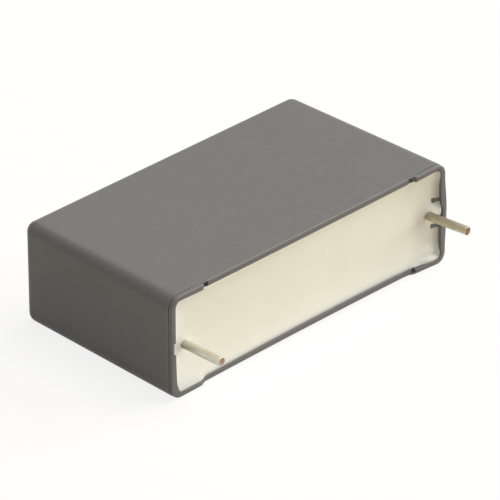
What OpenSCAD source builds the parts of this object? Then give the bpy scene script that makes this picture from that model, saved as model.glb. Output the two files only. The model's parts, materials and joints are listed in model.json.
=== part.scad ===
// Box film capacitor with two radial wire leads, lying on one of its large faces.
// X runs along the lead pitch, -Y is the way the leads point, Z is up.
// The origin is the centre of the underside of the case.
// Depths are counted from the open rim of the case towards its closed end.

/* [Case] */
// Distance between the two lead axes
lead_pitch = 37.5; // [32:0.5:45]
// Distance from a lead axis to the outside of the nearest end wall, at the rim
end_margin = 2.25; // [1.9:0.05:4]
// Thickness of the case between its two large faces
case_t = 12.3; // [9:0.1:20]
// Height of the case from the rim to the closed end
case_h = 22.8; // [18:0.1:34]
// Draft of each end wall, from the rim to the closed end
end_draft = 0.5; // [0:0.05:0.8]
// Radius of the four edges that run from the rim to the closed end
edge_r = 1.4; // [1:0.1:2]
// Radius of the edges round the closed end
closed_r = 1.2; // [0.6:0.1:1.8]
// Thickness of the walls at the rim
rim_wall = 0.7; // [0.4:0.05:0.9]
// Thickness of the walls at the closed end
base_wall = 0.9; // [0.5:0.05:1.2]
// Thickness of the closed end
floor_t = 1; // [0.6:0.1:2]

/* [Standoff lips] */
// How far a lip stands out past the rim
lip_h = 0.35; // [0.2:0.05:1]
// Length of a lip along each long wall, from the outside of the end wall
lip_len = 4.85; // [4:0.05:8]
// How far the outside of a lip is set back from the wall
lip_setback = 0.06; // [0.03:0.01:0.2]
// Thickness of a lip along the long walls
lip_t = 0.5; // [0.3:0.05:0.8]
// Depth at which the set-back outside of a lip starts
shoulder_depth = 0.05; // [0.05:0.05:0.6]
// Width of the relief slot between a lip and the rim
slot_w = 0.8; // [0.2:0.05:1.2]
// Depth of the relief slot
slot_depth = 0.35; // [0.1:0.05:0.8]
// Wall left on the outside of the relief slot
slot_skin = 0.15; // [0.1:0.05:0.4]
// Width of the vent on the inside of an end lip
vent_w = 1.4; // [1:0.1:4]
// How far the vent is cut into the end wall
vent_t = 0.25; // [0.1:0.05:0.5]
// How far the vent runs down from the top of the lip
vent_h = 0.5; // [0.05:0.05:0.6]

/* [Lead guides] */
// Clearance between a lead and the guide rib on either side of it
rib_clearance = 0.85; // [0.3:0.05:1.5]
// Thickness of a guide rib
rib_t = 0.45; // [0.3:0.05:0.8]
// Distance from a lead axis to the end of a guide rib, towards the wall
rib_setback = 0.45; // [0:0.05:0.8]
// Depth of the top of a guide rib at the wall
rib_depth = 0.05; // [0:0.05:1]
// How far the top of a guide rib slopes down from the wall to its end
rib_fall = 0.4; // [0:0.05:1]
// Length of a guide rib
rib_len = 8; // [3:0.5:12]

/* [Resin] */
// Depth of the resin surface at the left lead
resin_depth_left = 0.2; // [0.1:0.05:1]
// Depth of the resin surface at the right lead
resin_depth_right = 0.5; // [0.1:0.05:1]

/* [Winding] */
// Depth of the top of the winding
winding_depth = 2.2; // [1.8:0.1:5]
// Resin left between the winding and the case
winding_gap = 0.4; // [0.2:0.05:1.2]
// Thickness of the sprayed metal layer on each end of the winding
contact_t = 0.6; // [0.3:0.05:1]

/* [Leads] */
// Diameter of the lead wire
lead_d = 1; // [0.6:0.1:1.2]
// Length of the left lead past the rim
lead_out_left = 5.45; // [3:0.05:25]
// Length of the right lead past the rim
lead_out_right = 5.35; // [3:0.05:25]
// Outward lean of the right lead, in degrees
lead_lean = 4; // [0:0.5:4]
// Thickness of the flattened end that is welded to the metal layer
weld_t = 0.6; // [0.3:0.05:0.6]
// Length of the flattened end
weld_len = 11; // [6:0.5:14]

/* [Hidden] */
$fn = 48;

left = -1;
right = 1;
overshoot = 1;
// Facets of the rounded edges of the case
round_fn = 40;
// How far the round of a lead is sunk in the resin, so that a leaning lead leaves no gap
lead_sink = 0.04;
// How far the corners of the flattened end stay inside the round of the wire
weld_relief = 0.02;

case_w = lead_pitch + 2 * end_margin;
rim_y = -case_h / 2;
mid_z = case_t / 2;

// The flattened end keeps inside the round of the wire
weld_w = sqrt(lead_d * lead_d - weld_t * weld_t) - 2 * weld_relief;
contact_face_x = lead_pitch / 2 - weld_t / 2;
winding_len = 2 * (contact_face_x - contact_t);
winding_t = case_t - 2 * (base_wall + winding_gap);
winding_bottom = case_h - floor_t - winding_gap;

lip_inner_x = case_w / 2 - lip_len;
rib_z = lead_d / 2 + rib_clearance;
resin_slope = atan((resin_depth_right - resin_depth_left) / lead_pitch);
resin_depth_mid = (resin_depth_left + resin_depth_right) / 2;

// Colours
case_colour = [0.42, 0.41, 0.40];
resin_colour = [0.89, 0.86, 0.76];
film_colour = [0.86, 0.87, 0.88];
spray_colour = [0.55, 0.56, 0.58];
wire_colour = [0.72, 0.69, 0.62];

// Puts a shape that is drawn from the rim, with +Y as depth, on the middle plane of the case
module from_rim() {
    translate([0, rim_y, mid_z]) children();
}

// A ball whose top, bottom and sides lie exactly at its radius
module ball(r) {
    rotate_extrude($fn = round_fn) intersection() {
        circle(r, $fn = round_fn);
        translate([0, -r]) square([r, 2 * r]);
    }
}

// Rounded rectangle of the rim, with its ends and its long sides moved inwards by an inset
module rim_outline(end_inset, side_inset) {
    r = edge_r - max(end_inset, side_inset);
    w = case_w - 2 * end_inset;
    t = case_t - 2 * side_inset;
    square([w - 2 * r, t], center = true);
    square([w, t - 2 * r], center = true);
    for (x = [left, right], z = [-1, 1])
        translate([x * (w / 2 - r), z * (t / 2 - r)]) circle(r, $fn = round_fn);
}

// The rim outline as a plate between two depths
module rim_plate(end_inset, side_inset, start, end) {
    translate([0, end, 0]) rotate([90, 0, 0]) linear_extrude(end - start)
        rim_outline(end_inset, side_inset);
}

// Outside of the moulding, straight as far as the shoulder and drafted from there on
module case_block() {
    closed_x = case_w / 2 - end_draft - closed_r;
    closed_z = case_t / 2 - closed_r;
    hull() {
        rim_plate(0, 0, 0, shoulder_depth);
        for (x = [left, right], z = [-1, 1])
            translate([x * closed_x, case_h - closed_r, z * closed_z]) ball(closed_r);
    }
}

// Space inside the moulding, open through the rim and the lips
module cavity() {
    r = edge_r - rim_wall;
    base_x = case_w / 2 - end_draft - base_wall - r;
    base_z = case_t / 2 - base_wall - r;
    hull() {
        rim_plate(rim_wall, rim_wall, -lip_h - overshoot, shoulder_depth);
        for (x = [left, right], z = [-1, 1])
            translate([x * base_x, case_h - floor_t - r, z * base_z]) ball(r);
    }
}

// Box across both long walls, from a distance off the middle outwards, between two depths
module end_region(side, start_x, start, end) {
    reach = case_w / 2 + overshoot - start_x;
    height = case_t + 2 * overshoot;
    x = side == right ? start_x : -start_x - reach;
    translate([x, start, -height / 2]) cube([reach, end - start, height]);
}

// Two thin ribs with sloping tops that keep a lead off the walls while the resin sets
module guide_ribs(side) {
    end_x = side * (lead_pitch / 2 + rib_setback);
    face_x = side * (case_w / 2 - rim_wall);
    wall_x = side * (case_w / 2 - rim_wall / 2);
    bottom = rib_depth + rib_len;
    for (z = [rib_z, -rib_z - rib_t])
        translate([0, 0, z]) linear_extrude(rib_t)
            polygon([[end_x, rib_depth + rib_fall], [face_x, rib_depth], [wall_x, rib_depth],
                     [wall_x, bottom], [end_x, bottom]]);
}

// Lip round one end of the rim, with the set-back outside that runs down to the shoulder
module end_lip(side) {
    intersection() {
        rim_plate(lip_setback, lip_setback, -lip_h, shoulder_depth);
        end_region(side, lip_inner_x, -lip_h, shoulder_depth);
    }
}

// What is cut away round one end before its lip is added
module lip_rebate(side) {
    end_region(side, lip_inner_x, -overshoot, shoulder_depth);
}

// Slots in the inside of the long walls, that part a lip from the rim, and the vent on the inside of the lip
module lip_cuts(side) {
    slot_x = side == right ? lip_inner_x - slot_w : -lip_inner_x;
    slot_t = case_t - 2 * slot_skin;
    translate([slot_x, -overshoot, -slot_t / 2]) cube([slot_w, overshoot + slot_depth, slot_t]);
    vent_reach = lip_len - rim_wall + vent_t;
    vent_x = side == right ? lip_inner_x : -lip_inner_x - vent_reach;
    translate([vent_x, -lip_h - overshoot, -vent_w / 2]) cube([vent_reach, overshoot + vent_h, vent_w]);
}

// What is taken off the inside of both lips, so that they are thinner than the long walls
module lip_relief() {
    rim_plate(rim_wall, lip_setback + lip_t, -lip_h - overshoot, 0);
}

// Welded wire, round outside the resin and pressed flat against the metal layer inside it
module lead(side, resin_depth, out, lean) {
    translate([side * lead_pitch / 2, resin_depth, 0]) {
        rotate([0, 0, side * lean]) rotate([90, 0, 0])
            translate([0, 0, -lead_sink]) cylinder(d = lead_d, h = out + resin_depth + lead_sink);
        translate([-weld_t / 2, 0, -weld_w / 2]) cube([weld_t, weld_len, weld_w]);
    }
}

// Flattened winding section, as a slice along X
module winding_slice(x, length) {
    r = winding_t / 2;
    translate([x, 0, 0]) rotate([90, 0, 90]) linear_extrude(length) {
        translate([winding_depth + r, -r]) square([winding_bottom - winding_depth - 2 * r, winding_t]);
        for (depth = [winding_depth + r, winding_bottom - r])
            translate([depth, 0]) circle(r);
    }
}

module contact(side) {
    x = side == right ? winding_len / 2 : -winding_len / 2 - contact_t;
    winding_slice(x, contact_t);
}

// Everything deeper than the surface of the resin
module below_resin_surface() {
    length = 2 * case_w;
    height = 2 * case_t;
    translate([0, resin_depth_mid, 0]) rotate([0, 0, resin_slope])
        translate([-length / 2, 0, -height / 2]) cube([length, 2 * case_h, height]);
}

module case() {
    color(case_colour) from_rim() {
        difference() {
            union() {
                difference() {
                    case_block();
                    for (side = [left, right]) lip_rebate(side);
                }
                for (side = [left, right]) end_lip(side);
            }
            cavity();
            lip_relief();
            for (side = [left, right]) lip_cuts(side);
        }
        for (side = [left, right]) guide_ribs(side);
    }
}

module potting_resin() {
    color(resin_colour) from_rim() difference() {
        intersection() {
            cavity();
            below_resin_surface();
        }
        for (side = [left, right]) guide_ribs(side);
        winding_slice(-winding_len / 2 - contact_t, winding_len + 2 * contact_t);
        lead(left, resin_depth_left, lead_out_left, 0);
        lead(right, resin_depth_right, lead_out_right, lead_lean);
    }
}

module film_winding() {
    color(film_colour) from_rim() winding_slice(-winding_len / 2, winding_len);
}

module end_contact_left() {
    color(spray_colour) from_rim() contact(left);
}

module end_contact_right() {
    color(spray_colour) from_rim() contact(right);
}

module lead_left() {
    color(wire_colour) from_rim() lead(left, resin_depth_left, lead_out_left, 0);
}

module lead_right() {
    color(wire_colour) from_rim() lead(right, resin_depth_right, lead_out_right, lead_lean);
}

case();
potting_resin();
film_winding();
end_contact_left();
end_contact_right();
lead_left();
lead_right();
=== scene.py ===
"""Dresses the boxed film capacitor: its moulded case, cast resin and leads, the light and the camera.

Sizes are in millimetres, in the frame of the part. MM turns them into metres where a mesh is made.
Depths are counted from the open rim of the case towards its closed end.
"""
import json
from collections import namedtuple
from math import ceil, copysign, cos, exp, hypot, pi, radians, sin, sqrt

import bmesh
import bpy
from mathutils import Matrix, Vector, noise


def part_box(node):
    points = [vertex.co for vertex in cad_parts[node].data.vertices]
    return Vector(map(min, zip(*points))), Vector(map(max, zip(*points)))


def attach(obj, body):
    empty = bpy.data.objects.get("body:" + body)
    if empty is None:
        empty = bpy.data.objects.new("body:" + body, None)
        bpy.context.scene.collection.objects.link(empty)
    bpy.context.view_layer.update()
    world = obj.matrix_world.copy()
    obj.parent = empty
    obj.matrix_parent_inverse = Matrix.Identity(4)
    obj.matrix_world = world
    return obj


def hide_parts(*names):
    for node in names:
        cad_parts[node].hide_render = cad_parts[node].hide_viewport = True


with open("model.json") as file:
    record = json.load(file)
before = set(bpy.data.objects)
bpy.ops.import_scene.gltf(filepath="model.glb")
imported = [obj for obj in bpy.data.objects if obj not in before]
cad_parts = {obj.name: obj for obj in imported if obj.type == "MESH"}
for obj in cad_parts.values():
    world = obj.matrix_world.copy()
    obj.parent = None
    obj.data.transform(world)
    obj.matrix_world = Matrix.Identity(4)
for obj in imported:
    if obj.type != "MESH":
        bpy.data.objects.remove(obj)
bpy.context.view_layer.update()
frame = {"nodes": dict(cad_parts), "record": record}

MM = 0.001
BODY = "root"
QUARTER = pi / 2
UP = Vector((0, 0, 1))


def box_in_mm(node):
    """Lowest and highest corner of a node, in millimetres."""
    low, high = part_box(node)
    return [v / MM for v in low], [v / MM for v in high]


# Case, from its box and the sizes of the moulding
LIP_H = 0.35
case_low, case_high = box_in_mm("case")
HALF_W = (case_high[0] - case_low[0]) / 2
HALF_T = (case_high[2] - case_low[2]) / 2
MID_Z = (case_high[2] + case_low[2]) / 2
RIM_Y = case_low[1] + LIP_H
CASE_H = case_high[1] - RIM_Y
END_DRAFT = 0.5
EDGE_R = 1.4
CLOSED_R = 1.2
RIM_WALL = 0.7
BASE_WALL = 0.9
FLOOR_T = 1.0
INNER_R = EDGE_R - RIM_WALL

# Half lengths of the straight stretches of its walls
FLAT_W = HALF_W - EDGE_R
FLAT_T = HALF_T - EDGE_R

# Lips, slots, vents and guide ribs
LIP_INNER_X = 16.15
LIP_SETBACK = 0.03
LIP_RELIEF = 0.14
TOP_RELIEF_SHARE = 0.3
SHOULDER_DEPTH = 0.05
SLOT_W = 0.6
SLOT_MARGIN = 0.25
SLOT_DEPTH = 0.25
SLOT_SKIN = 0.08
LOWER_LIP_X = 16.2
RIGHT_LOWER_LIP_X = 16.39
LOWER_SLOT_W = 0.5
LOWER_SLOT_DEPTH = 0.2
LOWER_SLOT_SKIN = 0.24
VENT_HALF_W = 0.7
VENT_RELIEF = 0.25
VENT_DEPTH = 0.15
RIB_Z = 1.35
UPPER_RIB_RISE = 0.1
RIB_T = 0.45
RIB_REACH = 1.1
RIB_DEPTH = 0.05
RIB_FALL = 0.4
RIB_LEN = 8.0

# Small forms of the moulding: rounded edges, and walls that warped as they cooled
RIM_EDGE_R = 0.2
LIP_EDGE_R = 0.13
INNER_EDGE_R = 0.08
STEP_EDGE_R = 0.07
LIP_END_R = 0.3
LOWER_LIP_TAPER = 0.9
RIGHT_LIP_START = 15.2
RIGHT_LIP_TAPER = 1.6
LONG_GROOVE = 0.2
END_GROOVE = 0.05
GROOVE_DEPTH = 0.11
GROOVE_HALF_W = 0.04
GROOVE_EDGE = 0.02
GROOVE_RUNOUT = 1.5
GROOVE_FADE = 0.2
LIP_FLARE = 0.7
FILLED_SLOT_RISE = LIP_H / 2
TOP_SINK = 0.06
UNDERSIDE_SINK = 0.16
SINK_REACH = 7.0
RIGHT_BULGE = 0.35
INNER_BULGE = 0.15
RIGHT_PULL = 0.1
RIGHT_FILL = 0.05
PULL_REACH = 0.8
LEFT_LEAN = 0.12
CORNER_FILL = 0.25
CORNER_FILL_W = 0.8

# Spacing of the rows and columns of the case's mesh
STEP_GAP = 0.004
ROW_GAP = 0.003
EDGE_SHARE = 0.4
EDGE_STOPS = (0.3, 0.65)
END_WALL_GAP = 0.35
LONG_WALL_GAP = 0.9
SETTLE_DEPTH = 0.6
EVEN_DEPTH = 4.0
SHOULDER_ROWS = 6
RIB_EDGE_CUT = 0.3
BELOW_LEDGE = (0.2, 0.6)
INNER_ROWS = 7
CAVITY_STEPS = 3

# Resin and leads
LEAD_PITCH = 37.5
RESIN_DEPTH_LEFT = 0.2
RESIN_DEPTH_RIGHT = 0.5
WELD_T = 0.6
WELD_W = 0.76
WELD_LEN = 11.0
LEAD_SINK = 0.04

# A lead: its side, its rise where it leaves the resin, its further lift at the tip, the way its shear
# faces in degrees, the width and height of the edge that the shear rolled over, and the seed of its
# unevenness
Lead = namedtuple("Lead", "name side rise lift shear roll_w roll_h seed")
LEFT_LEAD = Lead("left", -1, -0.13, 0.12, -20, 0.36, 0.22, 3.0)
RIGHT_LEAD = Lead("right", 1, 0.08, 0.15, 150, 0.20, 0.07, 8.0)

# Photograph's camera
CAMERA_AIM = (0.784, -1.62, 5.385)
CAMERA_AZIMUTH = -45.203
CAMERA_ELEVATION = 29.925
CAMERA_DISTANCE = 505.8
CAMERA_LENS = 336.41

# Walls in turn, and the way each faces in X and Z. Each runs towards the next
TOP, RIGHT, BOTTOM, LEFT = range(4)
WALL_NORMALS = ((0, 1), (1, 0), (0, -1), (-1, 0))
ENDS = (RIGHT, LEFT)

# A segment of a wall, and a station on it: the depth of its top, how far the outside of the lip is set
# back there, the depth of a notch in the inside, how far a rib stands out, and how far the inside is
# relieved above a ledge
FORM = "top setback notch reach relief ledge"
PLAIN = [0.0] * len(FORM.split())
Segment = namedtuple("Segment", "start end " + FORM, defaults=PLAIN)
Station = namedtuple("Station", "wall along spread angle " + FORM, defaults=PLAIN)


def lerp(a, b, t):
    return a + (b - a) * t


def clamp01(t):
    return min(1.0, max(0.0, t))


def smooth(t):
    t = clamp01(t)
    return t * t * (3 - 2 * t)


def step_over(distance, width):
    """Smooth step from 0 to 1 over a width, halfway where the distance is 0."""
    return smooth(0.5 + distance / width)


def spaced(start, end, gap):
    """Even steps from start to end, no further apart than a gap."""
    count = max(1, ceil((end - start) / gap))
    return [lerp(start, end, i / count) for i in range(count + 1)]


def rounding(radius, steps):
    """Points over a rounded edge, each as its distances in from the two faces that meet there."""
    angles = [QUARTER * i / steps for i in range(steps + 1)]
    return [(radius * (1 - cos(a)), radius * (1 - sin(a))) for a in angles]


def in_frame(x, depth, z):
    """A point of the frame in metres, from X, a depth and a height over the middle plane.

    What stands out past the rim is a little taller towards the lower right corner.
    """
    if depth < 0:
        towards_corner = smooth((x - LIP_INNER_X) / (HALF_W - LIP_INNER_X)) * smooth(-z / HALF_T)
        depth *= 1 + LIP_FLARE * towards_corner
    return Vector((x, RIM_Y + depth, MID_Z + z)) * MM


# Outline of the walls

def eased(value, neighbour, distance, radius):
    """Rounds the corner of a step: the value at a short distance from where the neighbour starts."""
    radius = min(radius, abs(neighbour - value) / 2)
    if distance >= radius:
        return value
    rise = radius - sqrt(max(0.0, radius ** 2 - (radius - distance) ** 2))
    return value + copysign(rise, neighbour - value)


def places_along(part, before, after, gap, edge):
    """Places along a segment, close together beside the steps to its neighbours."""
    close = [STEP_GAP] + [share * edge for share in EDGE_STOPS]
    start = part.start + (edge if before else gap)
    end = part.end - (edge if after else gap)
    places = [part.start + stop for stop in close] if before else []
    places += spaced(start, end, gap)
    return places + ([part.end - stop for stop in reversed(close)] if after else [])


def wall_stations(wall, segments, gap, most_edge):
    """Stations along one wall, with rounded edges at every step between its segments.

    The lower right lip rises slowly from before its slot, and resin fills the lower left slot.
    """
    found = []
    for i, part in enumerate(segments):
        edge = min(most_edge, EDGE_SHARE * (part.end - part.start))
        before = segments[i - 1] if i > 0 else None
        after = segments[i + 1] if i + 1 < len(segments) else None
        for s in places_along(part, before, after, gap, edge):
            top, notch, reach, relief = part.top, part.notch, part.reach, part.relief
            for other, distance in ((before, s - part.start), (after, part.end - s)):
                if other:
                    top = eased(top, other.top, distance, edge)
                    reach = eased(reach, other.reach, distance, edge)
                    relief = eased(relief, other.relief, distance, edge)
            lower_left = wall == BOTTOM and s > 0
            lower_right = wall == BOTTOM and s <= 0
            if lower_right:
                top = -LIP_H * smooth((abs(s) - RIGHT_LIP_START) / RIGHT_LIP_TAPER)
            if part.setback and lower_left:
                top *= step_over(abs(s) - LOWER_LIP_X, LOWER_LIP_TAPER)
            if part.setback and wall == TOP:
                relief *= lerp(TOP_RELIEF_SHARE, 1.0, (abs(s) - LIP_INNER_X) / (part.end - part.start))
            if part.notch and lower_left:
                share = smooth((s - part.start) / (part.end - part.start))
                top, notch, relief = -FILLED_SLOT_RISE * share, 0.0, LIP_RELIEF * share
            found.append((s, top, part.setback, notch, reach, relief, part.ledge))
    count = len(found) + 1
    spreads = [2 * (i + 1) / count - 1 for i in range(len(found))]
    return [Station(wall, s, spread, None, *rest) for spread, (s, *rest) in zip(spreads, found)]


def lower_lip_x(x):
    """Where the lip on the underside wall starts, on the side of a point."""
    return RIGHT_LOWER_LIP_X if x > 0 else LOWER_LIP_X


def corner_stations(wall, steps=10):
    """Stations round the corner after a wall. The relief of the lips runs out towards the end walls."""
    found = []
    for i in range(steps + 1):
        angle = QUARTER * i / steps
        share = i / steps if wall in ENDS else 1 - i / steps
        relief = LIP_RELIEF * smooth(share)
        found.append(Station(wall, None, None, angle, top=-LIP_H, setback=LIP_SETBACK, relief=relief))
    return found


def long_wall_half(lip_start, slot_w, slot_margin, slot_depth):
    """Half of a long wall, from its middle to a corner."""
    slot_end = lip_start - slot_margin
    slot_start = slot_end - slot_w
    half = [Segment(0, slot_start), Segment(slot_start, slot_end, notch=slot_depth)]
    if slot_margin:
        half.append(Segment(slot_end, lip_start))
    half.append(Segment(lip_start, FLAT_W, top=-LIP_H, setback=LIP_SETBACK, relief=LIP_RELIEF))
    return half


def long_wall_segments(wall):
    if wall == TOP:
        half = long_wall_half(LIP_INNER_X, SLOT_W, SLOT_MARGIN, SLOT_DEPTH)
        return joined(half, half)
    right, left = (long_wall_half(lower_lip_x(x), LOWER_SLOT_W, 0.0, LOWER_SLOT_DEPTH) for x in (1, -1))
    return joined(right, left)


def rib_z(z):
    """Distance from the middle plane at which the guide rib above or below it starts."""
    return RIB_Z + (UPPER_RIB_RISE if z > 0 else 0.0)


def end_wall_half(z):
    """Half of an end wall, from its middle up or down to a corner."""
    rib_start, rib_end = rib_z(z), rib_z(z) + RIB_T
    lip = Segment(0, VENT_HALF_W, top=-LIP_H, setback=LIP_SETBACK)
    return [lip._replace(relief=VENT_RELIEF, ledge=VENT_DEPTH),
            lip._replace(start=VENT_HALF_W, end=rib_start),
            lip._replace(start=rib_start, end=rib_end, reach=RIB_REACH),
            lip._replace(start=rib_end, end=FLAT_T)]


def onwards(wall):
    """The way along a wall, which is towards the next one."""
    return WALL_NORMALS[(wall + 1) % len(WALL_NORMALS)]


def end_wall_segments(wall):
    runs_up = onwards(wall)[1]
    return joined(end_wall_half(-runs_up), end_wall_half(runs_up))


def joined(before, after):
    """Segments along a whole wall, from two halves that each run from its middle outwards."""
    turned = [part._replace(start=-part.end, end=-part.start) for part in reversed(before[1:])]
    middle = after[0]._replace(start=-before[0].end)
    return turned + [middle] + after[1:]


def case_stations():
    around = []
    for wall in (TOP, RIGHT, BOTTOM, LEFT):
        if wall in ENDS:
            around += wall_stations(wall, end_wall_segments(wall), END_WALL_GAP, STEP_EDGE_R)
        else:
            around += wall_stations(wall, long_wall_segments(wall), LONG_WALL_GAP, LIP_END_R)
        around += corner_stations(wall)
    return around


def outline_point(station, half_w, half_t, radius, relax):
    """Place of a station on a rounded rectangle, in X and Z. Relax spreads a wall's stations evenly."""
    out, on = WALL_NORMALS[station.wall], onwards(station.wall)
    out_half, on_half = (half_w, half_t) if station.wall in ENDS else (half_t, half_w)
    if station.angle is None:
        a = out_half
        b = lerp(station.along, station.spread * (on_half - radius), relax)
    else:
        a = out_half - radius + radius * cos(station.angle)
        b = on_half - radius + radius * sin(station.angle)
    return [out_way * a + on_way * b for out_way, on_way in zip(out, on)]


def bulge(x, z, most):
    """How far the right end wall bulges at a height. The left one is straight."""
    return most * max(0.0, 1 - (z / FLAT_T) ** 2) ** 2 if x > 0 else 0.0


def sag(wall, x):
    """How far a long wall has sunk in at the rim. It is most in the middle."""
    most = TOP_SINK if wall == TOP else UNDERSIDE_SINK
    return most * max(0.0, 1 - (x / FLAT_W) ** 2)


def right_share(station):
    """1 on the right end wall, running out to 0 round its corners."""
    if station.angle is None:
        return 1.0 if station.wall == RIGHT else 0.0
    if station.wall == TOP:
        return sin(station.angle) ** 2
    return cos(station.angle) ** 2 if station.wall == RIGHT else 0.0


def left_lean(z):
    """How much thicker the left wall is at a height: it leans in towards its foot."""
    return LEFT_LEAN * smooth(-z / FLAT_T)


def inner_fill(station):
    """How much thicker the wall is at the rim: on the right end, and in the rounder lower left corner."""
    bend = INNER_R * QUARTER / 2
    if station.wall == BOTTOM and station.angle is None:
        lean = 0.0
        off = FLAT_W - station.along + bend
    elif station.wall == BOTTOM:
        lean = left_lean(-HALF_T) * sin(station.angle)
        off = INNER_R * (station.angle - QUARTER / 2)
    elif station.wall == LEFT and station.angle is None:
        lean = left_lean(station.along)
        off = FLAT_T + station.along + bend
    else:
        return RIGHT_FILL * right_share(station)
    return lean + CORNER_FILL * exp(-(off / CORNER_FILL_W) ** 2)


def warp(station, x, z, depth, most_bulge=RIGHT_BULGE):
    """Moves a point as its wall warped: the long ones sink in, the right end is drawn in and bulges."""
    x -= RIGHT_PULL * right_share(station) * exp(-max(depth, 0) / PULL_REACH)
    if station.angle is not None:
        return x, z
    out = WALL_NORMALS[station.wall]
    if station.wall in ENDS:
        shift = bulge(x, z, most_bulge) * cos(QUARTER * clamp01(depth / CASE_H))
    else:
        shift = -sag(station.wall, x) * exp(-max(depth, 0) / SINK_REACH)
    return x + out[0] * shift, z + out[1] * shift


def outside_point(station, inset, depth, relax=0.0, most_bulge=RIGHT_BULGE):
    """Point on the outside of the case, moved inwards by an inset."""
    share = clamp01((depth - SHOULDER_DEPTH) / (CASE_H - CLOSED_R - SHOULDER_DEPTH))
    half_w = HALF_W - END_DRAFT * share - inset
    radius = max(0.0, lerp(EDGE_R, CLOSED_R, share) - inset)
    x, z = outline_point(station, half_w, HALF_T - inset, radius, relax)
    x, z = warp(station, x, z, depth, most_bulge)
    return in_frame(x, depth, z)


def cavity_halves(depth):
    """Half width and half thickness of the space inside the case at a depth."""
    share = clamp01((depth - SHOULDER_DEPTH) / (CASE_H - FLOOR_T - INNER_R - SHOULDER_DEPTH))
    half_w = HALF_W - RIM_WALL - share * (END_DRAFT + BASE_WALL - RIM_WALL)
    half_t = HALF_T - RIM_WALL - share * (BASE_WALL - RIM_WALL)
    return half_w, half_t


def inside_point(station, inset, depth, relax=0.0, radius=INNER_R):
    """Point on the inside of the case, moved inwards by an inset."""
    half_w, half_t = cavity_halves(depth)
    x, z = outline_point(station, half_w - inset, half_t - inset, radius, relax)
    x, z = warp(station, x, z, depth, INNER_BULGE)
    return in_frame(x, depth, z)


# Case

def closed_end_rows(station, steps=8):
    """Rounded edge of the closed end, from its flat face to the wall."""
    for inset, drop in reversed(rounding(CLOSED_R, steps)):
        yield outside_point(station, inset, CASE_H - drop, 1.0)


def outer_wall_rows(station, steps=12):
    """Drafted wall from the closed end to just below the lips."""
    start = CASE_H - CLOSED_R
    for i in range(1, steps + 1):
        depth = lerp(start, SETTLE_DEPTH, sin(QUARTER * i / steps))
        relax = smooth((depth - SETTLE_DEPTH) / (EVEN_DEPTH - SETTLE_DEPTH))
        yield outside_point(station, 0.0, depth, relax)


def groove_place(station):
    """Depth of the groove below a lip: further from the rim on the long walls than on the ends."""
    turned = 0.0 if station.angle is None else station.angle / QUARTER
    end_share = 1 - turned if station.wall in ENDS else turned
    return lerp(LONG_GROOVE, END_GROOVE, smooth(end_share))


def shoulder_rows(station):
    """Outside between the drafted wall and the edge of the top, with a fine groove below each lip."""
    last = station.top + outer_edge_r(station)
    if station.setback:
        low, high = groove_place(station) + GROOVE_HALF_W, groove_place(station) - GROOVE_HALF_W
        groove = GROOVE_DEPTH
        if station.angle is not None:
            groove = lerp(GROOVE_DEPTH, station.setback, GROOVE_FADE * sin(2 * station.angle))
        elif station.wall not in ENDS:
            run_in = smooth((abs(station.along) - LIP_INNER_X) / GROOVE_RUNOUT)
            groove = lerp(station.setback, GROOVE_DEPTH, run_in)
        rows = [(0.0, low + GROOVE_EDGE), (GROOVE_EDGE, low), (groove, low), (groove, high),
                (station.setback, high), (station.setback, min(high, last))]
    else:
        rows = [(0.0, last + ROW_GAP * i) for i in reversed(range(SHOULDER_ROWS))]
    for inset, depth in rows:
        yield outside_point(station, inset, depth)


def slot_skin(station):
    return SLOT_SKIN if station.wall == TOP else LOWER_SLOT_SKIN


def outer_edge_r(station):
    if station.setback:
        return LIP_EDGE_R
    return min(RIM_EDGE_R, slot_skin(station) / 2) if station.notch else RIM_EDGE_R


def top_rows(station, steps=5):
    """Rounded edges of the top of the wall, on both sides of its flat."""
    for inset, drop in rounding(outer_edge_r(station), steps)[1:]:
        yield outside_point(station, station.setback + inset, station.top + drop)
    if station.notch:
        skin = slot_skin(station)
        inner_rows = [(skin, station.top), (skin, (station.top + station.notch) / 2)]
        floor_steps = steps - len(inner_rows)
        for i in range(floor_steps + 1):
            inner_rows.append((lerp(skin, RIM_WALL, i / floor_steps), station.notch))
    else:
        inside = RIM_WALL + inner_fill(station) - station.relief
        edge = reversed(rounding(INNER_EDGE_R, steps))
        inner_rows = [(inside - inset, station.top + drop) for inset, drop in edge]
    for inset, depth in inner_rows:
        share = clamp01((inset - station.setback) / (RIM_WALL - station.setback))
        yield outside_point(station, inset, depth, most_bulge=lerp(RIGHT_BULGE, INNER_BULGE, share))


def rib_top(reach):
    """Depth of the sloping top of a rib, at a distance from the wall."""
    return RIB_DEPTH + RIB_FALL * reach / RIB_REACH


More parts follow.
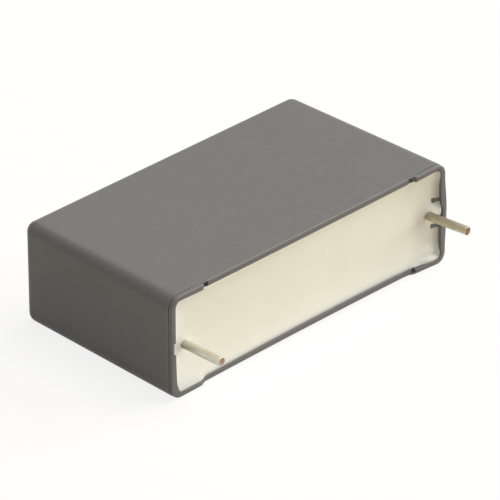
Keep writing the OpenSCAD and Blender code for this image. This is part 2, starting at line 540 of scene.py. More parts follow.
def inner_wall_rows(station):
    """Inside of the wall: its relief above the ledge, and the rib that stands out by the reach."""
    start = max(station.top, station.notch) + INNER_EDGE_R
    bottom = RIB_DEPTH + RIB_LEN
    edge = STEP_EDGE_R
    if station.reach > edge:
        reach, end, cut = station.reach, rib_top(station.reach), RIB_EDGE_CUT * edge
        rows = [(0.0, (start + RIB_DEPTH) / 2), (0.0, RIB_DEPTH), (reach - edge, rib_top(reach - edge)),
                (reach - cut, end + cut), (reach, end + edge), (reach, bottom), (0.0, bottom + edge)]
    elif station.relief > 0:
        relieved, ledge = -station.relief, max(station.ledge, start)
        rows = [(relieved, (start + ledge) / 2), (relieved, ledge), (0.0, ledge), (0.0, ledge + edge)]
        rows += [(0.0, lerp(ledge, bottom, share)) for share in BELOW_LEDGE]
        rows.append((0.0, bottom + edge))
    else:
        shares = [(i / INNER_ROWS) ** 2 for i in range(1, INNER_ROWS + 1)]
        rows = [(0.0, lerp(start, bottom + edge, share)) for share in shares]
    for reach, depth in rows:
        half_w, half_t = cavity_halves(depth)
        fill = inner_fill(station) * (1 - smooth(depth / RIB_LEN))
        x, z = outline_point(station, half_w - fill, half_t - fill, INNER_R - fill, 0.0)
        x, z = warp(station, x, z, depth, INNER_BULGE)
        out = WALL_NORMALS[station.wall]
        yield in_frame(x - out[0] * reach, depth, z - out[1] * reach)


def cavity_rows(station, steps=6):
    """Inside from below the ribs to the floor of the cavity, with its rounded edge."""
    start, end = RIB_DEPTH + RIB_LEN, CASE_H - FLOOR_T - INNER_R
    for i in range(1, CAVITY_STEPS + 1):
        share = i / CAVITY_STEPS
        yield inside_point(station, 0.0, lerp(start, end, share), share)
    for inset, drop in rounding(INNER_R, steps)[1:]:
        yield inside_point(station, inset, end + INNER_R - drop, 1.0, INNER_R - inset)


def case_mesh():
    """One closed shell: the outside from the closed end to the rim, over it, and down the inside."""
    bands = (closed_end_rows, outer_wall_rows, shoulder_rows, top_rows, inner_wall_rows, cavity_rows)
    bm = bmesh.new()
    loft(bm, [[point for band in bands for point in band(station)] for station in case_stations()])
    return finished(bm, "moulded_case")


# Mesh helpers

# Lighter tone on outward bends and rim faces: edge wear with a painted highlight, and painted light on
# the rim
WORN_BEND = 0.14
RIM_FACING = 0.9
RIM_PAINTED_LIGHT = 0.6


def loft(bm, columns):
    """Skins columns of points that follow each other round a loop, and caps its first and last ring."""
    verts = [[bm.verts.new(p) for p in column] for column in columns]
    for i, column in enumerate(verts):
        following = verts[(i + 1) % len(verts)]
        for j in range(len(column) - 1):
            bm.faces.new((column[j], column[j + 1], following[j + 1], following[j]))
    bm.faces.new([column[0] for column in verts])
    bm.faces.new([column[-1] for column in reversed(verts)])
    return verts


def mark_worn_and_highlight(bm):
    """Stores edge wear with a painted highlight where the mesh bends outwards, and painted light on the
    rim faces below the top wall.
    """
    bm.normal_update()
    worn = bm.verts.layers.float.new("worn")
    for v in bm.verts:
        bends = [edge.calc_face_angle_signed(0.0) for edge in v.link_edges]
        v[worn] = clamp01((max(bends, default=0.0) - WORN_BEND) / WORN_BEND)
        # Painted light on the rim faces that face the front, below the top wall
        if v.normal.y < -RIM_FACING and v.co.z < (MID_Z + FLAT_T) * MM:
            v[worn] = max(v[worn], RIM_PAINTED_LIGHT)


def new_object(name, data):
    thing = bpy.data.objects.new(name, data)
    bpy.context.scene.collection.objects.link(thing)
    return thing


def mesh_object(bm, name):
    """New object in the scene, from a mesh that is done."""
    mesh = bpy.data.meshes.new(name)
    bm.to_mesh(mesh)
    bm.free()
    return new_object(name, mesh)


def finished(bm, name, sharp_angle=40.0, merge=1e-7):
    """Cleans a mesh, shades it smooth up to an angle and makes an object of it that rides on the body."""
    bmesh.ops.remove_doubles(bm, verts=bm.verts, dist=merge)
    bmesh.ops.dissolve_degenerate(bm, edges=bm.edges, dist=merge)
    bmesh.ops.recalc_face_normals(bm, faces=bm.faces)
    mark_worn_and_highlight(bm)
    for face in bm.faces:
        face.smooth = True
    for edge in bm.edges:
        edge.smooth = len(edge.link_faces) == 2 and edge.calc_face_angle() < radians(sharp_angle)
    piece = mesh_object(bm, name)
    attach(piece, BODY)
    return piece


# Resin

# Half sizes of the mouth of the cavity
MOUTH_W, MOUTH_T = cavity_halves(0.0)

# A climb of the resin at an edge, and a swelling or a patch of its surface
Climb = namedtuple("Climb", "rise width")
Lump = namedtuple("Lump", "x z most size_x size_z")

# How the resin climbs the walls, in their order, as a wide dish and a narrow meniscus, and how it climbs
# the upper and lower right corners and the leads
DISH = (Climb(0.28, 1.3), Climb(0.48, 0.9), Climb(0.10, 1.3), Climb(0.12, 1.2))
LOW_DISH_SHARE = 0.35
LOW_DISH_REACH = 3.0
MENISCUS = (Climb(0.10, 0.25), Climb(0.06, 0.20), Climb(0.0, 0.2), Climb(0.10, 0.25))
CORNERS = (Climb(0.4, 1.2), Climb(0.4, 0.8))
COLLARS = ((LEFT_LEAD, Climb(0.12, 0.4)), (RIGHT_LEAD, Climb(-0.03, 0.4)))
RESIN_TOP = -0.25
RESIN_WAVE = 0.012
RESIN_WAVE_SIZE = 5.0
WALL_OVERLAP = 0.03

# Thin film on the underside wall, the bank at its right end, two lumps, and the openings over the ribs
FILM_GAP = 0.03
FILM_DIP_SHARE = 0.55
FILM_CLIMB_W = 0.18
LEFT_LIP_RUN = 1.1
RIGHT_LIP_RUN = 2.6
BANK_X = 16.8
BANK_RUN = 2.0
BANK_FOOT = 0.65
BANK_W = 0.5
MOUND = Lump(19.3, 0.5, 0.47, 1.5, 0.8)
LOW_LUMP = Lump(18.9, -4.4, 0.3, 1.3, 0.8)
TRENCH_DEPTH = 0.03
TRENCH_EDGE = 0.06
RIB_BARE = 0.95
RIB_HOLLOW = 0.05
RIB_HOLLOW_RUN = 0.35

# Tones: where the wall shows through a thin film, with painted shade in that tone near the right end wall
# and in the left vent; painted shade near the right lead and along the top wall; and painted light near
# the underside wall, the left end and the lumps
FILM_W = 0.19
LEFT_LIP_FILM_W = 0.28
RIGHT_LIP_FILM_W = 0.18
# Painted shade near the right end wall, in the tone of the wall under a film
RIGHT_SHADE_SHARE = 0.47
RIGHT_SHADE_AT_LEAD = 0.2
RIGHT_SHADE_START = 0.625
RIGHT_SHADE_REACH = 1.25
LOW_RIGHT_SHADE_REACH = 0.75
RIGHT_SHADE_TURN = -0.5
# Painted shade in the left vent, beside the left lead
LEFT_VENT_SHADE = Lump(-20.5, 0.05, 0.45, 0.9, 0.7)
# Painted shade: the right lead's shadow below it, a patch towards the upper right corner, a band along
# the top wall, and round the right lead
PAINTED_SHADE_PATCHES = (Lump(18.2, -1.1, 0.4, 1.7, 2.6), Lump(17.6, 4.0, 0.13, 2.6, 1.8))
TOP_PAINTED_SHADE = Climb(0.26, 0.9)
LEAD_CONTACT_SHADE_W = 0.08
LEAD_SHADE_HALO = Climb(0.4, 0.5)
# Painted light: how far it reaches from the underside wall and from the left end
PAINTED_LIGHT_BELOW = 2.3
PAINTED_LIGHT_LEFT = 3.0

# Spacing of the grid of the resin's surface, and of the rows of its sides
RESIN_FINE_ZONE = 5.8
RESIN_FINE_GAP = 0.07
RESIN_COARSE_GAP = 0.45
RESIN_UP_GAP = 0.16
RIB_ZONE_MARGIN = 0.4
RIB_ZONE_GAP = 0.06
FIRST_SIDE_DEPTH = 1.0
RESIN_FLOOR_STEPS = 5


def resin_level(x):
    """Depth of the cast surface, which runs from one lead to the other at a slight slope."""
    return lerp(RESIN_DEPTH_LEFT, RESIN_DEPTH_RIGHT, (x + LEAD_PITCH / 2) / LEAD_PITCH)


def wall_gaps(x, z):
    """Distance of a point of the cavity from each wall, at the rim."""
    right = MOUTH_W - RIGHT_PULL + bulge(x, z, INNER_BULGE)
    return [max(0.0, gap) for gap in (MOUTH_T - z, right - x, MOUTH_T + z, MOUTH_W + x)]


def lead_gap(lead, x, z):
    """Distance of a point of the surface from a lead."""
    return max(0.0, hypot(x - lead.side * LEAD_PITCH / 2, z - lead.rise) - LEAD_R)


def falling(climb, gap):
    """Rise of a climb at a distance from its edge."""
    return climb.rise * exp(-gap / climb.width)


def climbed(climbs, gaps):
    """How far the resin has climbed at these distances from the walls."""
    return sqrt(sum(falling(climb, gap) ** 2 for climb, gap in zip(climbs, gaps)))


def swell(lump, x, z):
    """1 in the middle of a lump, falling to 0 round it."""
    return exp(-((x - lump.x) / lump.size_x) ** 2 - ((z - lump.z) / lump.size_z) ** 2)


def in_lower_slot(x):
    """1 at a slot of the underside wall, 0 beside it."""
    end = lower_lip_x(x)
    return step_over(abs(x) - end + LOWER_SLOT_W, FILM_CLIMB_W) - step_over(abs(x) - end, FILM_CLIMB_W)


def film_top(x):
    """Depth that the film on the underside wall reaches: short of its top, lower at the right slot."""
    drop = FILM_DIP_SHARE * LOWER_SLOT_DEPTH * in_lower_slot(x) if x > 0 else 0.0
    run = LEFT_LIP_RUN if x < 0 else RIGHT_LIP_RUN
    start = lower_lip_x(x) - (LOWER_SLOT_W if x < 0 else 0.0)
    return FILM_GAP + drop + (RESIN_TOP - FILM_GAP) * smooth((abs(x) - start) / run)


def over_right_rib(x, z):
    """1 over a guide rib at the right end, 0 beside it."""
    gap = wall_gaps(x, z)[RIGHT]
    hollow = RIB_HOLLOW * smooth(gap / RIB_HOLLOW_RUN - 1)
    beside = abs(abs(z) - rib_z(z) - RIB_T / 2) - RIB_T / 2 - hollow
    before = gap - RIB_BARE
    return step_over(-max(beside, before), TRENCH_EDGE)


def resin_depth(x, z):
    """Depth of the surface: dished, raised at walls and leads, open over the right ribs, faintly wavy."""
    gaps = wall_gaps(x, z)
    top, right, below, _ = gaps
    low = smooth(1 - below / LOW_DISH_REACH)
    dish = list(DISH)
    dish[RIGHT] = Climb(DISH[RIGHT].rise, DISH[RIGHT].width * lerp(1.0, LOW_DISH_SHARE, low))
    depth = resin_level(x) - climbed(dish, gaps) - climbed(MENISCUS, gaps)
    for corner, gap in zip(CORNERS, (top, below)):
        depth -= corner.rise * exp(-(gap ** 2 + right ** 2) / corner.width ** 2)
    for lead, collar in COLLARS:
        depth -= falling(collar, lead_gap(lead, x, z))
    depth -= sum(lump.most * swell(lump, x, z) for lump in (MOUND, LOW_LUMP))
    depth += RESIN_WAVE * noise.noise(Vector((x / RESIN_WAVE_SIZE, 0.0, z / RESIN_WAVE_SIZE)))
    bank = smooth((BANK_FOOT - below) / BANK_W)
    climb = lerp(exp(-below / FILM_CLIMB_W), bank, smooth((x - BANK_X) / BANK_RUN))
    depth = max(lerp(depth, film_top(x), climb), RESIN_TOP)
    return max(depth, lerp(depth, rib_top(right) + TRENCH_DEPTH, over_right_rib(x, z)))


def end_limit(side, z):
    """Half length of the surface towards an end wall, with rounded corners and the filled left vent."""
    over = max(0.0, abs(z) - (MOUTH_T - INNER_R))
    limit = MOUTH_W - INNER_R + sqrt(max(0.0, INNER_R ** 2 - over ** 2))
    if side > 0:
        limit += bulge(side, z, INNER_BULGE) - RIGHT_PULL
    else:
        in_vent = step_over(VENT_HALF_W - abs(z), STEP_EDGE_R)
        limit += VENT_RELIEF * in_vent - left_lean(z)
    return limit + WALL_OVERLAP


def side_limit(side, x):
    """Half height of the surface towards a long wall, which has sunk in. It fills the lower left slot."""
    if side > 0:
        return MOUTH_T - sag(TOP, x) + WALL_OVERLAP
    slot_reach = LOWER_SLOT_W if x < 0 else LOWER_SLOT_W / 2
    relief = LIP_RELIEF * smooth((abs(x) - lower_lip_x(x) + slot_reach) / LOWER_SLOT_W)
    return MOUTH_T + relief - sag(BOTTOM, x) + WALL_OVERLAP


def graded(half, fine_start, fine_gap, coarse_gap, wall_zone=0.35, wall_gap=0.04):
    """Places from 0 to half: coarse, fine from a start on, and finest at the wall."""
    near_wall = half - wall_zone
    places = spaced(0.0, fine_start, coarse_gap)[:-1] if fine_start > 0 else []
    places += spaced(fine_start, near_wall, fine_gap)[:-1]
    return places + spaced(near_wall, half, wall_gap)


def both_sides(places):
    return [-p for p in reversed(places[1:])] + places


def painted_shade_share(x, z):
    """Share of painted shade: the right lead's painted shadow, a patch towards the upper right corner, a
    halo and contact shade round the right lead, and a band along the top wall.
    """
    gap = lead_gap(RIGHT_LEAD, x, z)
    halo = falling(LEAD_SHADE_HALO, gap) * smooth((LEAD_PITCH / 2 - x) / LEAD_R)
    patches = sum(patch.most * swell(patch, x, z) for patch in PAINTED_SHADE_PATCHES)
    band = falling(TOP_PAINTED_SHADE, wall_gaps(x, z)[TOP])
    return max(patches + band + halo, exp(-gap / LEAD_CONTACT_SHADE_W))


def painted_light_share(x, z, below, left):
    """Share of painted light: near the underside wall, near the left end, and on the lumps."""
    lumps = swell(MOUND, x, z) + swell(LOW_LUMP, x, z)
    return clamp01(exp(-below / PAINTED_LIGHT_BELOW) + exp(-left / PAINTED_LIGHT_LEFT) + lumps)


def low_film(x, z):
    """Share of the wall that shows through the thin film at the underside wall, wider at the lips."""
    gap = MOUTH_T + z
    lip_width = LEFT_LIP_FILM_W if x < 0 else RIGHT_LIP_FILM_W
    width = lerp(FILM_W, lip_width, smooth(abs(x) - LIP_INNER_X))
    return exp(-gap / width)


def right_painted_shade(x, z):
    """Share of painted shade near the right end wall, in the tone of the wall under a film: less beside
    the lead, narrower below it.
    """
    gap = MOUTH_W - x
    share = lerp(RIGHT_SHADE_AT_LEAD, RIGHT_SHADE_SHARE, smooth((abs(z) - RIGHT_SHADE_START) / RIGHT_SHADE_REACH))
    reach = lerp(RIGHT_SHADE_REACH, LOW_RIGHT_SHADE_REACH, smooth((RIGHT_SHADE_TURN - z) / HALF_T))
    return share * smooth(1 - gap / reach)


def resin_places():
    """Places of the surface's grid, across and up: closest at the walls, the leads and the ribs."""
    across = graded(MOUTH_W, MOUTH_W - RESIN_FINE_ZONE, RESIN_FINE_GAP, RESIN_COARSE_GAP)
    rib_zone = RIB_Z + RIB_T + RIB_ZONE_MARGIN
    near = spaced(0.0, rib_zone, RIB_ZONE_GAP)
    far = [rib_zone + z for z in graded(MOUTH_T - rib_zone, 0.0, RESIN_UP_GAP, RESIN_UP_GAP)]
    return both_sides(across), both_sides(near[:-1] + far)


def resin_surface(bm):
    """Grid of the surface, with its tones stored at its points."""
    across, up = resin_places()
    film, pale, dull = (bm.verts.layers.float.new(name) for name in ("film", "pale", "dull"))
    grid = []
    for z0 in up:
        row = []
        for x0 in across:
            x = x0 / MOUTH_W * end_limit(copysign(1, x0), z0)
            z = z0 / MOUTH_T * side_limit(copysign(1, z0), x0)
            v = bm.verts.new(in_frame(x, resin_depth(x, z), z))
            left_vent_shade = LEFT_VENT_SHADE.most * swell(LEFT_VENT_SHADE, x, z)
            # Film tone: the wall under a thin film at the underside wall and over the ribs, and painted
            # shade near the right end wall and in the left vent
            v[film] = max(low_film(x0, z0), right_painted_shade(x0, z0), left_vent_shade, over_right_rib(x, z))
            # Painted light near the underside wall, the left end and on the lumps
            v[pale] = painted_light_share(x, z, MOUTH_T + z0, MOUTH_W + x0)
            # Painted shade near the right lead and along the top wall
            v[dull] = painted_shade_share(x, z)
            row.append(v)
        grid.append(row)
    for low, high in zip(grid, grid[1:]):
        for i in range(len(low) - 1):
            bm.faces.new((low[i], low[i + 1], high[i + 1], high[i]))
    return grid


def resin_sides(bm, rim):
    """Sides of the block, from the edge of its surface along the cavity to its floor."""
    places = [(v.co.x / MM, v.co.z / MM - MID_Z) for v in rim]
    straight_end = CASE_H - FLOOR_T - INNER_R
    levels = [(FIRST_SIDE_DEPTH, 0.0), (straight_end / 2, 0.0), (straight_end, 0.0)]
    for inset, drop in rounding(INNER_R, RESIN_FLOOR_STEPS)[1:]:
        levels.append((straight_end + INNER_R - drop, inset))
    ring = rim
    for depth, inset in levels:
        low_w, low_t = cavity_halves(depth)
        lower = []
        for x, z in places:
            low_x = copysign(min(1.0, abs(x) / MOUTH_W) * (low_w - inset), x)
            low_z = copysign(min(1.0, abs(z) / MOUTH_T) * (low_t - inset), z)
            lower.append(bm.verts.new(in_frame(low_x, depth, low_z)))
        for i in range(len(ring)):
            j = (i + 1) % len(ring)
            bm.faces.new((ring[i], ring[j], lower[j], lower[i]))
        ring = lower
    bm.faces.new(ring)


def resin_mesh():
    """Cast block with a modelled surface, whose sides follow the cavity down to its floor."""
    bm = bmesh.new()
    grid = resin_surface(bm)
    right_side = [row[-1] for row in grid[:-1]]
    left_side = [row[0] for row in grid[:0:-1]]
    resin_sides(bm, grid[0][:-1] + right_side + grid[-1][:0:-1] + left_side)
    return finished(bm, "cast_resin")


# Leads

# A wire below the resin: the depths of its rows, where it turns from flat to round, and where it rises
BURIED_ROWS = (WELD_LEN, WELD_LEN / 2, 2.0, 1.4, 0.9, 0.5, 0.2)
ROUND_DEPTH = 0.2
FLATTEN_RUN = 1.8
RISE_DEPTH = 1.6
ROUND_POWER = 2.0
FLAT_POWER = 9.0

# A wire outside the resin, and its sheared end
WIRE_TURNS = 48
WIRE_GAP = 0.12
TIP_MARGIN = 0.3
WEAR = 0.012
WEAR_TURNS = 1.5
WEAR_LENGTHS = 0.6
LEAST_ROLL_W = 0.03
LEAST_ROLL_H = 0.02
ROLL_STEPS = 6
CUT_SHARES = (0.8, 0.6, 0.4, 0.2)
CUT_WAVE = 0.03
CUT_WAVES = 3
CUT_MATERIAL = 1
# Painted shade where a lead leaves the resin: how far it reaches along the wire
BASE_SHADE_LEN = 0.7
UPPER_SHARE = 0.35
WIRE_SHARP_ANGLE = 50.0


def lead_mount(lead):
    return next(m for m in frame["record"]["mounts"] if m["name"] == "lead_" + lead.name)


LEAD_R = lead_mount(LEFT_LEAD)["dims"]["r_mm"]


def lead_section(angle, flat):
    """Point of a lead's section, from round to pressed flat."""
    c, s = cos(angle), sin(angle)
    power = 2 / lerp(ROUND_POWER, FLAT_POWER, flat)
    x = copysign(abs(c) ** power, c) * lerp(LEAD_R, WELD_T / 2, flat)
    z = copysign(abs(s) ** power, s) * lerp(LEAD_R, WELD_W / 2, flat)
    return x, z


def wire_wear(angle, t, seed):
    """Small unevenness of a drawn wire that was fed through rollers."""
    turn = Vector((cos(angle), sin(angle), 0)) * WEAR_TURNS
    return 1 + WEAR * noise.noise(turn + Vector((0, 0, t * WEAR_LENGTHS + seed)))


def cut_wave(angle, share, seed):
    """Small unevenness of a sheared end."""
    place = Vector((cos(angle), sin(angle), 0)) * share * CUT_WAVES
    return CUT_WAVE * noise.noise(place + Vector((0, 0, seed)))


def buried_rows(lead, root, angle):
    """Points of a wire below the resin, pressed flat where it is welded."""
    for back in BURIED_ROWS:
        x, z = lead_section(angle, smooth((back - ROUND_DEPTH) / FLATTEN_RUN))
        yield root + UP * lead.rise * smooth(RISE_DEPTH - back) + Vector((x, back, z))


def drawn_rows(lead, length, angle):
    """Places along a wire outside the resin and its radius there, with its sheared and rolled end."""
    for t in spaced(0.0, length - TIP_MARGIN, WIRE_GAP):
        yield t, LEAD_R * wire_wear(angle, t, lead.seed)
    rolled = ((1 + cos(angle - radians(lead.shear))) / 2) ** 2
    roll_w = lerp(LEAST_ROLL_W, lead.roll_w, rolled)
    roll_h = lerp(LEAST_ROLL_H, lead.roll_h, rolled)
    for inset, drop in rounding(1.0, ROLL_STEPS):
        yield length - roll_h * drop, LEAD_R - roll_w * inset
    for share in CUT_SHARES:
        yield length + cut_wave(angle, share, lead.seed), (LEAD_R - roll_w) * share


def lead_mesh(lead):
    """Wire pressed flat where it is welded, drawn round outside the resin, and sheared off at its tip."""
    mount = lead_mount(lead)
    axis = Vector(mount["axis"])
    sideways = UP.cross(-axis).normalized()
    length = mount["dims"]["length_mm"] - LEAD_SINK
    root_x = lead.side * LEAD_PITCH / 2
    root = Vector((root_x, RIM_Y + resin_level(root_x), MID_Z))
    start = root + UP * lead.rise
    run = axis + UP * lead.lift / length
    columns = []
    for k in range(WIRE_TURNS):
        angle = 2 * pi * k / WIRE_TURNS
        outwards = sideways * cos(angle) + UP * sin(angle)
        rows = list(buried_rows(lead, root, angle))
        rows += [start + run * t + outwards * radius for t, radius in drawn_rows(lead, length, angle)]
        columns.append([point * MM for point in rows])
    bm = bmesh.new()
    stain, across, upper = (bm.verts.layers.float.new(name) for name in ("stain", "across", "upper"))
    for column in loft(bm, columns):
        for v in column[-len(CUT_SHARES) - 1:]:
            for face in v.link_faces:
                face.material_index = CUT_MATERIAL
    for v in bm.verts:
        place = v.co / MM - start
        # Painted shade where the wire leaves the resin
        v[stain] = exp(-max(0.0, -place.y) / BASE_SHADE_LEN)
        # Painted shading on the upper side of the wire
        v[upper] = smooth(UPPER_SHARE + (place.z + lead.lift / length * place.y) / (2 * LEAD_R))
        v[across] = clamp01(0.5 - lead.side * (place.z - lead.lift) / (2 * LEAD_R))
    return finished(bm, "wire_" + lead.name, WIRE_SHARP_ANGLE)


# Materials

# Sockets of the mix node where it mixes colours
MIX_FACTOR, MIX_FIRST, MIX_SECOND = 0, 6, 7
MIX_RESULT = 2


def new_material(name):
    material = bpy.data.materials.new(name)
    material.use_nodes = True
    tree = material.node_tree
    return material, tree, tree.nodes["Principled BSDF"]


def feed(tree, socket, value):
    """Links an output to an input socket, or sets the socket to a value."""
    if isinstance(value, bpy.types.NodeSocket):
        tree.links.new(value, socket)
    elif socket.type == "RGBA":
        socket.default_value = (*value, 1.0)
    else:
        socket.default_value = value


def feed_all(tree, node, **sockets):
    """Feeds input sockets of a node, which are named with underscores for spaces."""
    for name, value in sockets.items():
        feed(tree, node.inputs[name.replace("_", " ")], value)


def add_node(tree, kind, settings=None, **sockets):
    """New node with its settings, and with its input sockets fed."""
    node = tree.nodes.new(kind)
    for key, value in (settings or {}).items():
        setattr(node, key, value)
    feed_all(tree, node, **sockets)
    return node


def noise_of(tree, size, detail=2.0, roughness=0.5, stretch=None):
    """Noise whose features have about a size in millimetres, drawn out along an axis where asked."""
    coords = add_node(tree, "ShaderNodeTexCoord").outputs["Object"]
    if stretch:
        coords = add_node(tree, "ShaderNodeMapping", Vector=coords, Scale=stretch).outputs["Vector"]
    return add_node(tree, "ShaderNodeTexNoise", Vector=coords, Scale=1 / (size * MM), Detail=detail,
                    Roughness=roughness).outputs["Fac"]


def ramp(tree, factor, first, last, start=0.3, end=0.7):
    """Colour that goes from a first to a last one while the factor goes from start to end."""
    node = add_node(tree, "ShaderNodeValToRGB", Fac=factor)
    for element, place, colour in zip(node.color_ramp.elements, (start, end), (first, last)):
        element.position = place
        element.color = (*colour, 1.0)
    return node.outputs["Color"]


def mix_colours(tree, factor, first, second):
    node = add_node(tree, "ShaderNodeMix", {"data_type": "RGBA"})
    for place, value in ((MIX_FACTOR, factor), (MIX_FIRST, first), (MIX_SECOND, second)):
        feed(tree, node.inputs[place], value)
    return node.outputs[MIX_RESULT]


def combined(tree, operation, first, second):
    """Two values put together by an operation of the math node."""
    node = add_node(tree, "ShaderNodeMath", {"operation": operation})
    for socket, value in zip(node.inputs, (first, second)):
        feed(tree, socket, value)
    return node.outputs["Value"]


def attribute(tree, name):
    """A value from 0 to 1 that is stored with the points of a mesh."""
    return add_node(tree, "ShaderNodeAttribute", {"attribute_name": name}).outputs["Fac"]


def scaled(tree, value, low, high):
    """A value from 0 to 1 taken to a range."""
    return add_node(tree, "ShaderNodeMapRange", Value=value, To_Min=low, To_Max=high).outputs["Result"]


def bump_of(tree, height, depth, **sockets):
    """Bump whose full height is a depth in millimetres."""
    node = add_node(tree, "ShaderNodeBump", Height=height, Distance=depth * MM, **sockets)
    return node.outputs["Normal"]


def rubbed_and_highlight(tree, patches, least=0.2):
    """Share of edge wear with a painted highlight on the outward edges, and of painted light on the rim,
    in patches.
    """
    return combined(tree, "MULTIPLY", attribute(tree, "worn"), scaled(tree, patches, least, 1.0))


def case_plastic():
    """Grey filled plastic with the fine grain of an eroded mould."""
    grey, lighter_grey = (0.1205, 0.113, 0.1066), (0.127, 0.1196, 0.1131)
    mottle_grey, grain_grey = (0.100, 0.095, 0.090), (0.168, 0.158, 0.149)
    worn_and_highlight_grey = (0.175, 0.168, 0.157)
    material, tree, shader = new_material("case_plastic")
    grain = noise_of(tree, size=0.22, detail=3.0, roughness=0.6)
    mottle = noise_of(tree, size=0.7)
    drift = noise_of(tree, size=9.0, detail=1.0)
    base = ramp(tree, drift, grey, lighter_grey)
    base = mix_colours(tree, scaled(tree, mottle, 0.0, 0.4), base, mottle_grey)
    base = mix_colours(tree, scaled(tree, grain, 0.0, 0.8), base, grain_grey)
    # Lighter grey on outward edges and the rim: edge wear with a painted highlight, and painted light
    base = mix_colours(tree, rubbed_and_highlight(tree, mottle), base, worn_and_highlight_grey)
    feed_all(tree, shader, Base_Color=base, Roughness=scaled(tree, mottle, 0.50, 0.62),
             Specular_IOR_Level=0.4, Normal=bump_of(tree, grain, depth=0.012))
    return material


def cream_resin():
    """Satin casting resin with painted light and painted shade in places, darker where the wall shows
    through a thin film.
    """
    cream, lighter_cream, speck_cream = (0.84, 0.797, 0.645), (0.87, 0.827, 0.672), (0.77, 0.71, 0.56)
    # The film grey also serves as painted shade near the right end wall and in the left vent
    pale, dull, film = (0.94, 0.94, 0.865), (0.47, 0.42, 0.35), (0.15, 0.145, 0.135)
    material, tree, shader = new_material("cream_resin")
    cloud = noise_of(tree, size=3.5, detail=3.0)
    speck = noise_of(tree, size=0.2)
    base = ramp(tree, cloud, cream, lighter_cream)
    base = mix_colours(tree, scaled(tree, speck, 0.0, 0.1), base, speck_cream)
    for name, colour in (("pale", pale), ("dull", dull), ("film", film)):
        base = mix_colours(tree, attribute(tree, name), base, colour)
    waves = bump_of(tree, cloud, depth=0.02)
    feed_all(tree, shader, Base_Color=base, Roughness=scaled(tree, cloud, 0.42, 0.55),
             Specular_IOR_Level=0.35, Normal=bump_of(tree, speck, depth=0.004, Normal=waves))
    return material


def tinned_wire(name, dark, light, upper_shade, shaded_base):
    """Matt tin on drawn wire, with lines along it, painted shade where it leaves the resin, and painted
    shading on its upper side.
    """
    material, tree, shader = new_material(name)
    lines = noise_of(tree, size=0.1, detail=3.0, roughness=0.6, stretch=(1.0, 0.05, 1.0))
    blotches = noise_of(tree, size=0.7)
    base = ramp(tree, blotches, dark, light)
    base = mix_colours(tree, scaled(tree, lines, 0.0, 0.5), base, dark)
    # Painted shade near the resin, browner on the right lead as a painted reflection of the resin
    base = mix_colours(tree, attribute(tree, "stain"), base, shaded_base)
    # Painted shading on the upper side
    base = mix_colours(tree, attribute(tree, "upper"), base, upper_shade)
    feed_all(tree, shader, Base_Color=base, Metallic=1.0, Roughness=scaled(tree, lines, 0.32, 0.5),
             Normal=bump_of(tree, lines, depth=0.01))
    return material


def copper_cut(name, near, far):
    """Bare copper of a sheared end, smeared across, and darker towards its top."""
    material, tree, shader = new_material(name)
    smear = noise_of(tree, size=0.08, detail=3.0, roughness=0.6, stretch=(1.0, 1.0, 0.2))
    base = ramp(tree, attribute(tree, "across"), far, near, start=0.25, end=0.6)
    base = mix_colours(tree, scaled(tree, smear, 0.0, 0.6), base, near)
    feed_all(tree, shader, Base_Color=base, Metallic=1.0, Roughness=scaled(tree, smear, 0.3, 0.5),
             Normal=bump_of(tree, smear, depth=0.02))
    return material


def wound_film():
    """Metallised film, wound in fine turns round the flat of the winding."""
    material, tree, shader = new_material("wound_film")
    turns = noise_of(tree, size=0.12, stretch=(0.02, 1.0, 1.0))
    base = ramp(tree, turns, (0.58, 0.59, 0.61), (0.76, 0.77, 0.79))
    feed_all(tree, shader, Base_Color=base, Metallic=0.6, Roughness=scaled(tree, turns, 0.2, 0.4),
             Normal=bump_of(tree, turns, depth=0.01))
    return material


def sprayed_metal():
    """Rough layer of sprayed metal droplets."""
    material, tree, shader = new_material("sprayed_metal")
    grit = noise_of(tree, size=0.15, detail=4.0, roughness=0.7)
    base = ramp(tree, grit, (0.28, 0.29, 0.31), (0.46, 0.47, 0.49))
    feed_all(tree, shader, Base_Color=base, Metallic=1.0, Roughness=scaled(tree, grit, 0.5, 0.75),
             Normal=bump_of(tree, grit, depth=0.06))
    return material


def seen_directly(tree):
    """1 on rays from the camera, and on those that a glossy or clear surface sends on."""
    path = add_node(tree, "ShaderNodeLightPath")
    either = path.outputs["Is Camera Ray"]
    for name in ("Is Glossy Ray", "Is Transmission Ray"):
        either = combined(tree, "MAXIMUM", either, path.outputs[name])
    return either


def floor_material():
    """Pale floor that is white to the camera and in reflections, and keeps the shadow of the part."""
    material, tree, shader = new_material("pale_floor")
    feed_all(tree, shader, Base_Color=FLOOR_COLOUR, Roughness=1.0, Specular_IOR_Level=0.0)
    white = add_node(tree, "ShaderNodeEmission")
    share = scaled(tree, seen_directly(tree), 0.0, FLOOR_WHITE_SHARE)
    mixed = add_node(tree, "ShaderNodeMixShader", Fac=share)
    _, first, second = mixed.inputs
    feed(tree, first, shader.outputs["BSDF"])
    feed(tree, second, white.outputs["Emission"])
    feed(tree, tree.nodes["Material Output"].inputs["Surface"], mixed.outputs["Shader"])
    return material


# Stage, light and camera, with sizes in metres

FLOOR_HALF = 3.0
FLOOR_DROP = 0.00002
FLOOR_COLOUR = (0.95, 0.90, 0.81)
FLOOR_WHITE_SHARE = 0.85
AMBIENT = 0.13
CLIP_START = 0.01


def build_floor():
    bm = bmesh.new()
    bmesh.ops.create_grid(bm, x_segments=1, y_segments=1, size=FLOOR_HALF)
    floor = mesh_object(bm, "floor")
    floor.location = (0, 0, -FLOOR_DROP)
    floor.data.materials.append(floor_material())


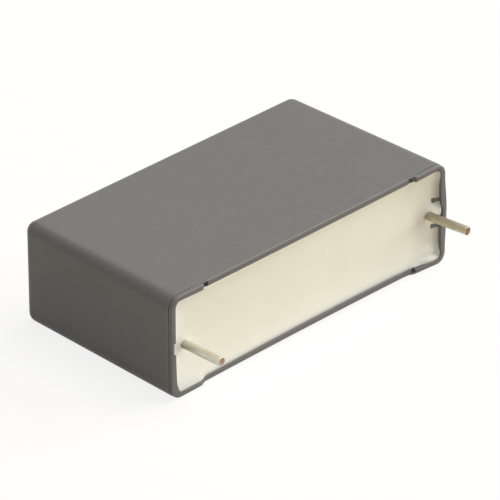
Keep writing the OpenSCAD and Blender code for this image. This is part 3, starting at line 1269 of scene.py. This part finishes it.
def build_world():
    """White to the camera and in reflections, a dim even light on everything else."""
    world = bpy.data.worlds.new("studio")
    bpy.context.scene.world = world
    world.use_nodes = True
    tree = world.node_tree
    strength = scaled(tree, seen_directly(tree), AMBIENT, 1.0)
    feed_all(tree, tree.nodes["Background"], Color=(1.0, 1.0, 1.0), Strength=strength)


def looking(way):
    """Rotation of a lamp or a camera that looks a way."""
    return way.to_track_quat("-Z", "Y").to_euler()


def softbox(name, place, size, watts):
    """Square lamp that faces the part."""
    data = bpy.data.lights.new(name, "AREA")
    data.size = size
    data.energy = watts
    lamp = new_object(name, data)
    lamp.location = place
    lamp.rotation_euler = looking(-Vector(place))


def build_lights():
    softbox("low_softbox", place=(1.36, -0.48, 0.69), size=1.1, watts=22.1)
    softbox("top_softbox", place=(0.45, -0.10, 1.43), size=1.0, watts=16.9)


def build_camera():
    azimuth, elevation = radians(CAMERA_AZIMUTH), radians(CAMERA_ELEVATION)
    level = cos(elevation)
    back = Vector((sin(azimuth) * level, -cos(azimuth) * level, sin(elevation)))
    data = bpy.data.cameras.new("camera")
    data.lens = CAMERA_LENS
    data.clip_start = CLIP_START
    camera = new_object("camera", data)
    camera.location = (Vector(CAMERA_AIM) + back * CAMERA_DISTANCE) * MM
    camera.rotation_euler = looking(-back)
    bpy.context.scene.camera = camera


def dress(piece, slot, replaces, *materials):
    """Gives a piece its materials, and hides the node that it stands for. The slot is not used."""
    for material in materials:
        piece.data.materials.append(material)
    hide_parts(replaces)


def build_part():
    film, metal = wound_film(), sprayed_metal()
    # Each wire's colour at the resin is painted shade, and its colour above is painted shading on its
    # upper side
    left_tin = tinned_wire("tinned_wire_left", dark=(0.54, 0.52, 0.42), light=(0.70, 0.68, 0.57),
                           upper_shade=(0.60, 0.57, 0.46), shaded_base=(0.22, 0.21, 0.15))
    right_tin = tinned_wire("tinned_wire_right", dark=(0.56, 0.51, 0.37), light=(0.74, 0.69, 0.53),
                            upper_shade=(0.35, 0.305, 0.225), shaded_base=(0.52, 0.42, 0.27))
    left_copper = copper_cut("copper_cut_left", near=(0.37, 0.235, 0.13), far=(0.46, 0.33, 0.24))
    right_copper = copper_cut("copper_cut_right", near=(0.27, 0.18, 0.068), far=(0.19, 0.135, 0.06))
    dress(case_mesh(), "case_plastic", "case", case_plastic())
    dress(resin_mesh(), "resin", "potting_resin", cream_resin())
    dress(lead_mesh(LEFT_LEAD), "tinned_wire", "lead_left", left_tin, left_copper)
    dress(lead_mesh(RIGHT_LEAD), "tinned_wire", "lead_right", right_tin, right_copper)
    inner_pieces = {"film_winding": film, "end_contact_left": metal, "end_contact_right": metal}
    for node, material in inner_pieces.items():
        for slot in frame["nodes"][node].material_slots:
            slot.material = material


build_camera()
build_world()
build_lights()
build_floor()
build_part()
bpy.context.scene.view_settings.view_transform = "Standard"
